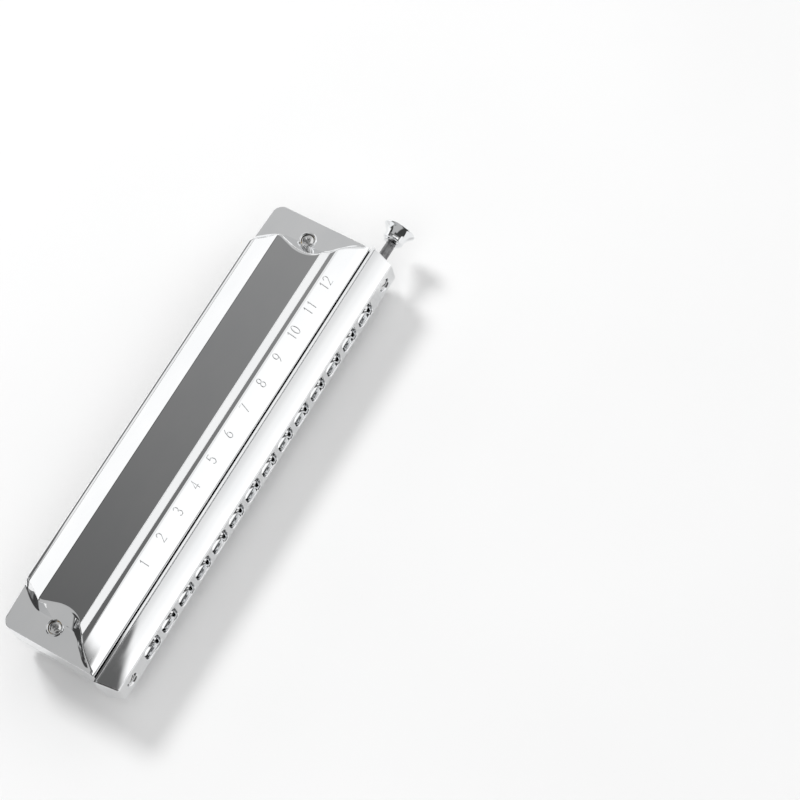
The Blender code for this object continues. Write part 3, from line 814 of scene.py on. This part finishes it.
def make_rubber():
    surface, shader, start = new_surface("rubber_pad", 0.0)
    specks = grain(start, (2500, 2500, 2500), 4.0)
    black = ((0.018, 0.018, 0.018), (0.045, 0.045, 0.045))
    finish_surface(shader, specks, black, specks * 0.2 + 0.65)
    return surface


finish_node("slide_bumper", make_rubber())


def make_spring():
    """Coil with an arm to the slide: points in millimetres, as the CAD wire runs."""
    centre_x, centre_y, radius, level = 77.0, 11.0, 1.4, -2.5
    wire_radius = 0.25
    arm_x, arm_front, arm_foot, arm_rear = centre_x + radius, 5.7, 9.4, 9.9
    arm_points, arm_spacing = 11, 0.37
    coil_points, points_in_turn, fall = 107, 30, 0.02
    arm = [Vector((arm_x, arm_front + arm_spacing * k, level)) for k in range(arm_points)]
    arm.append(Vector((arm_x, arm_rear, level)))
    coil = []
    for i in range(coil_points):
        turn = 2 * math.pi * i / points_in_turn
        coil.append(Vector((centre_x + radius * math.cos(turn),
                            centre_y + radius * math.sin(turn), level - fall * i)))
    tail = [coil[-1] + Vector((0, -0.5 * k, 0)) for k in range(1, 5)]
    mesh_bm = bmesh.new()
    add_stroke(mesh_bm, arm + coil + tail, wire_radius, 10)
    # The wire takes the strip steel's painted shade.
    spring = new_piece("slide_spring_wire", mesh_bm, strip_steel_painted_shade, None, 60)
    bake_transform(spring)
    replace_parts(spring, "slide_spring")


make_spring()


# Comb. A milled and anodised aluminium body with an air chamber to each side of every
# mouth hole, above and below.
def anodised():
    surface, shader, start = new_surface("anodised_aluminium", 1.0)
    bead = grain(start, (3200, 3200, 3200), 4.0)
    finish_surface(shader, bead, ((0.50, 0.50, 0.51), (0.60, 0.60, 0.61)), bead * 0.16 + 0.26)
    return surface


finish_node("comb", anodised())


# Reeds. Each plate is plated brass with a slot for every reed; the brass reeds are riveted
# to it, the inner ones inside the chambers and the outer ones on top, and a pale plastic
# valve strip lies over the slot of each inner reed. Turned brass posts take the cover screws.
plated = rolled_steel("plated_brass", ((0.70, 0.69, 0.66), (0.80, 0.79, 0.76)), 0.10)
reed_brass = rolled_steel("reed_brass", ((0.62, 0.40, 0.18), (0.74, 0.50, 0.25)), 0.16)
post_brass = turned_steel("post_brass", ((0.66, 0.50, 0.25), (0.78, 0.61, 0.33)), 0.12)
REED_OFFSET, REED_FRONT = 2.3, 13.0  # of a reed from the middle of its hole; front of slots
REED_LENGTHS = (19.0, 10.0)   # lowest and highest note
PLATE_FACE, REED_PAD = 6.85, 7.5  # outer face of a plate, and of an outer reed's pad
RIVET = [(0, -0.1), (0.72, -0.1), (0.72, 0.1), (0.62, 0.27), (0.34, 0.38), (0, 0.41)]
VALVE_HALF, VALVE_THICK = 1.6, 0.14


def valve_material():
    surface, shader, start = new_surface("valve_film", 0.0)
    haze = grain(start, (700, 300, 700), 3.0)
    finish_surface(shader, haze, ((0.72, 0.71, 0.66), (0.82, 0.81, 0.77)), haze * 0.2 + 0.35)
    return surface


film = valve_material()


def dress_plate(side, level):
    """Plate, reeds and posts of one side, with rivets and valve strips on the outer face."""
    finish_node(f"{level}_reed_plate", plated)
    rivets, strips = bmesh.new(), bmesh.new()
    for index, x in enumerate(HOLE_X):
        finish_node(f"{level}_reed_{index + 1:02d}", reed_brass)
        length = REED_LENGTHS[0] * (REED_LENGTHS[1] / REED_LENGTHS[0]) ** (index / (HOLES - 1))
        for across, along, foot in ((REED_OFFSET, REED_FRONT - 1.9, REED_PAD),
                                    (-REED_OFFSET, REED_FRONT + length + 1.1, PLATE_FACE)):
            dome = [(r, side * (foot + z)) for r, z in RIVET]
            rivet = turned(dome, "z", (x + across, along, 0), 16)
            scrap = bpy.data.meshes.new("rivet")
            rivet.to_mesh(scrap)
            rivets.from_mesh(scrap)
            bpy.data.meshes.remove(scrap)
            rivet.free()
        lift = 0.18 + 0.1 * (index % 3)
        rows = [(REED_FRONT - 2.2, 6.87), (REED_FRONT, 6.88),
                (REED_FRONT + length * 0.5, 6.9 + lift * 0.3),
                (REED_FRONT + length + 0.4, 6.9 + lift)]
        outline = ((-VALVE_HALF, 0), (VALVE_HALF, 0),
                   (VALVE_HALF, VALVE_THICK), (-VALVE_HALF, VALVE_THICK))
        loft([[(x - REED_OFFSET + across, y, side * (z + thick)) for across, thick in outline]
              for y, z in rows], strips)
    # The valve strips share the plates' slot, as the record has none for plastic
    for name, mesh_bm, surface, slot in (("rivets", rivets, reed_brass, "reed_brass"),
                                         ("valves", strips, film, "plated_plate")):
        piece = new_piece(f"{level}_{name}", mesh_bm, surface, "body", 40)
    for place in ("low", "high"):
        finish_node(f"{level}_cover_post_{place}", post_brass)


dress_plate(1, "upper")
dress_plate(-1, "lower")
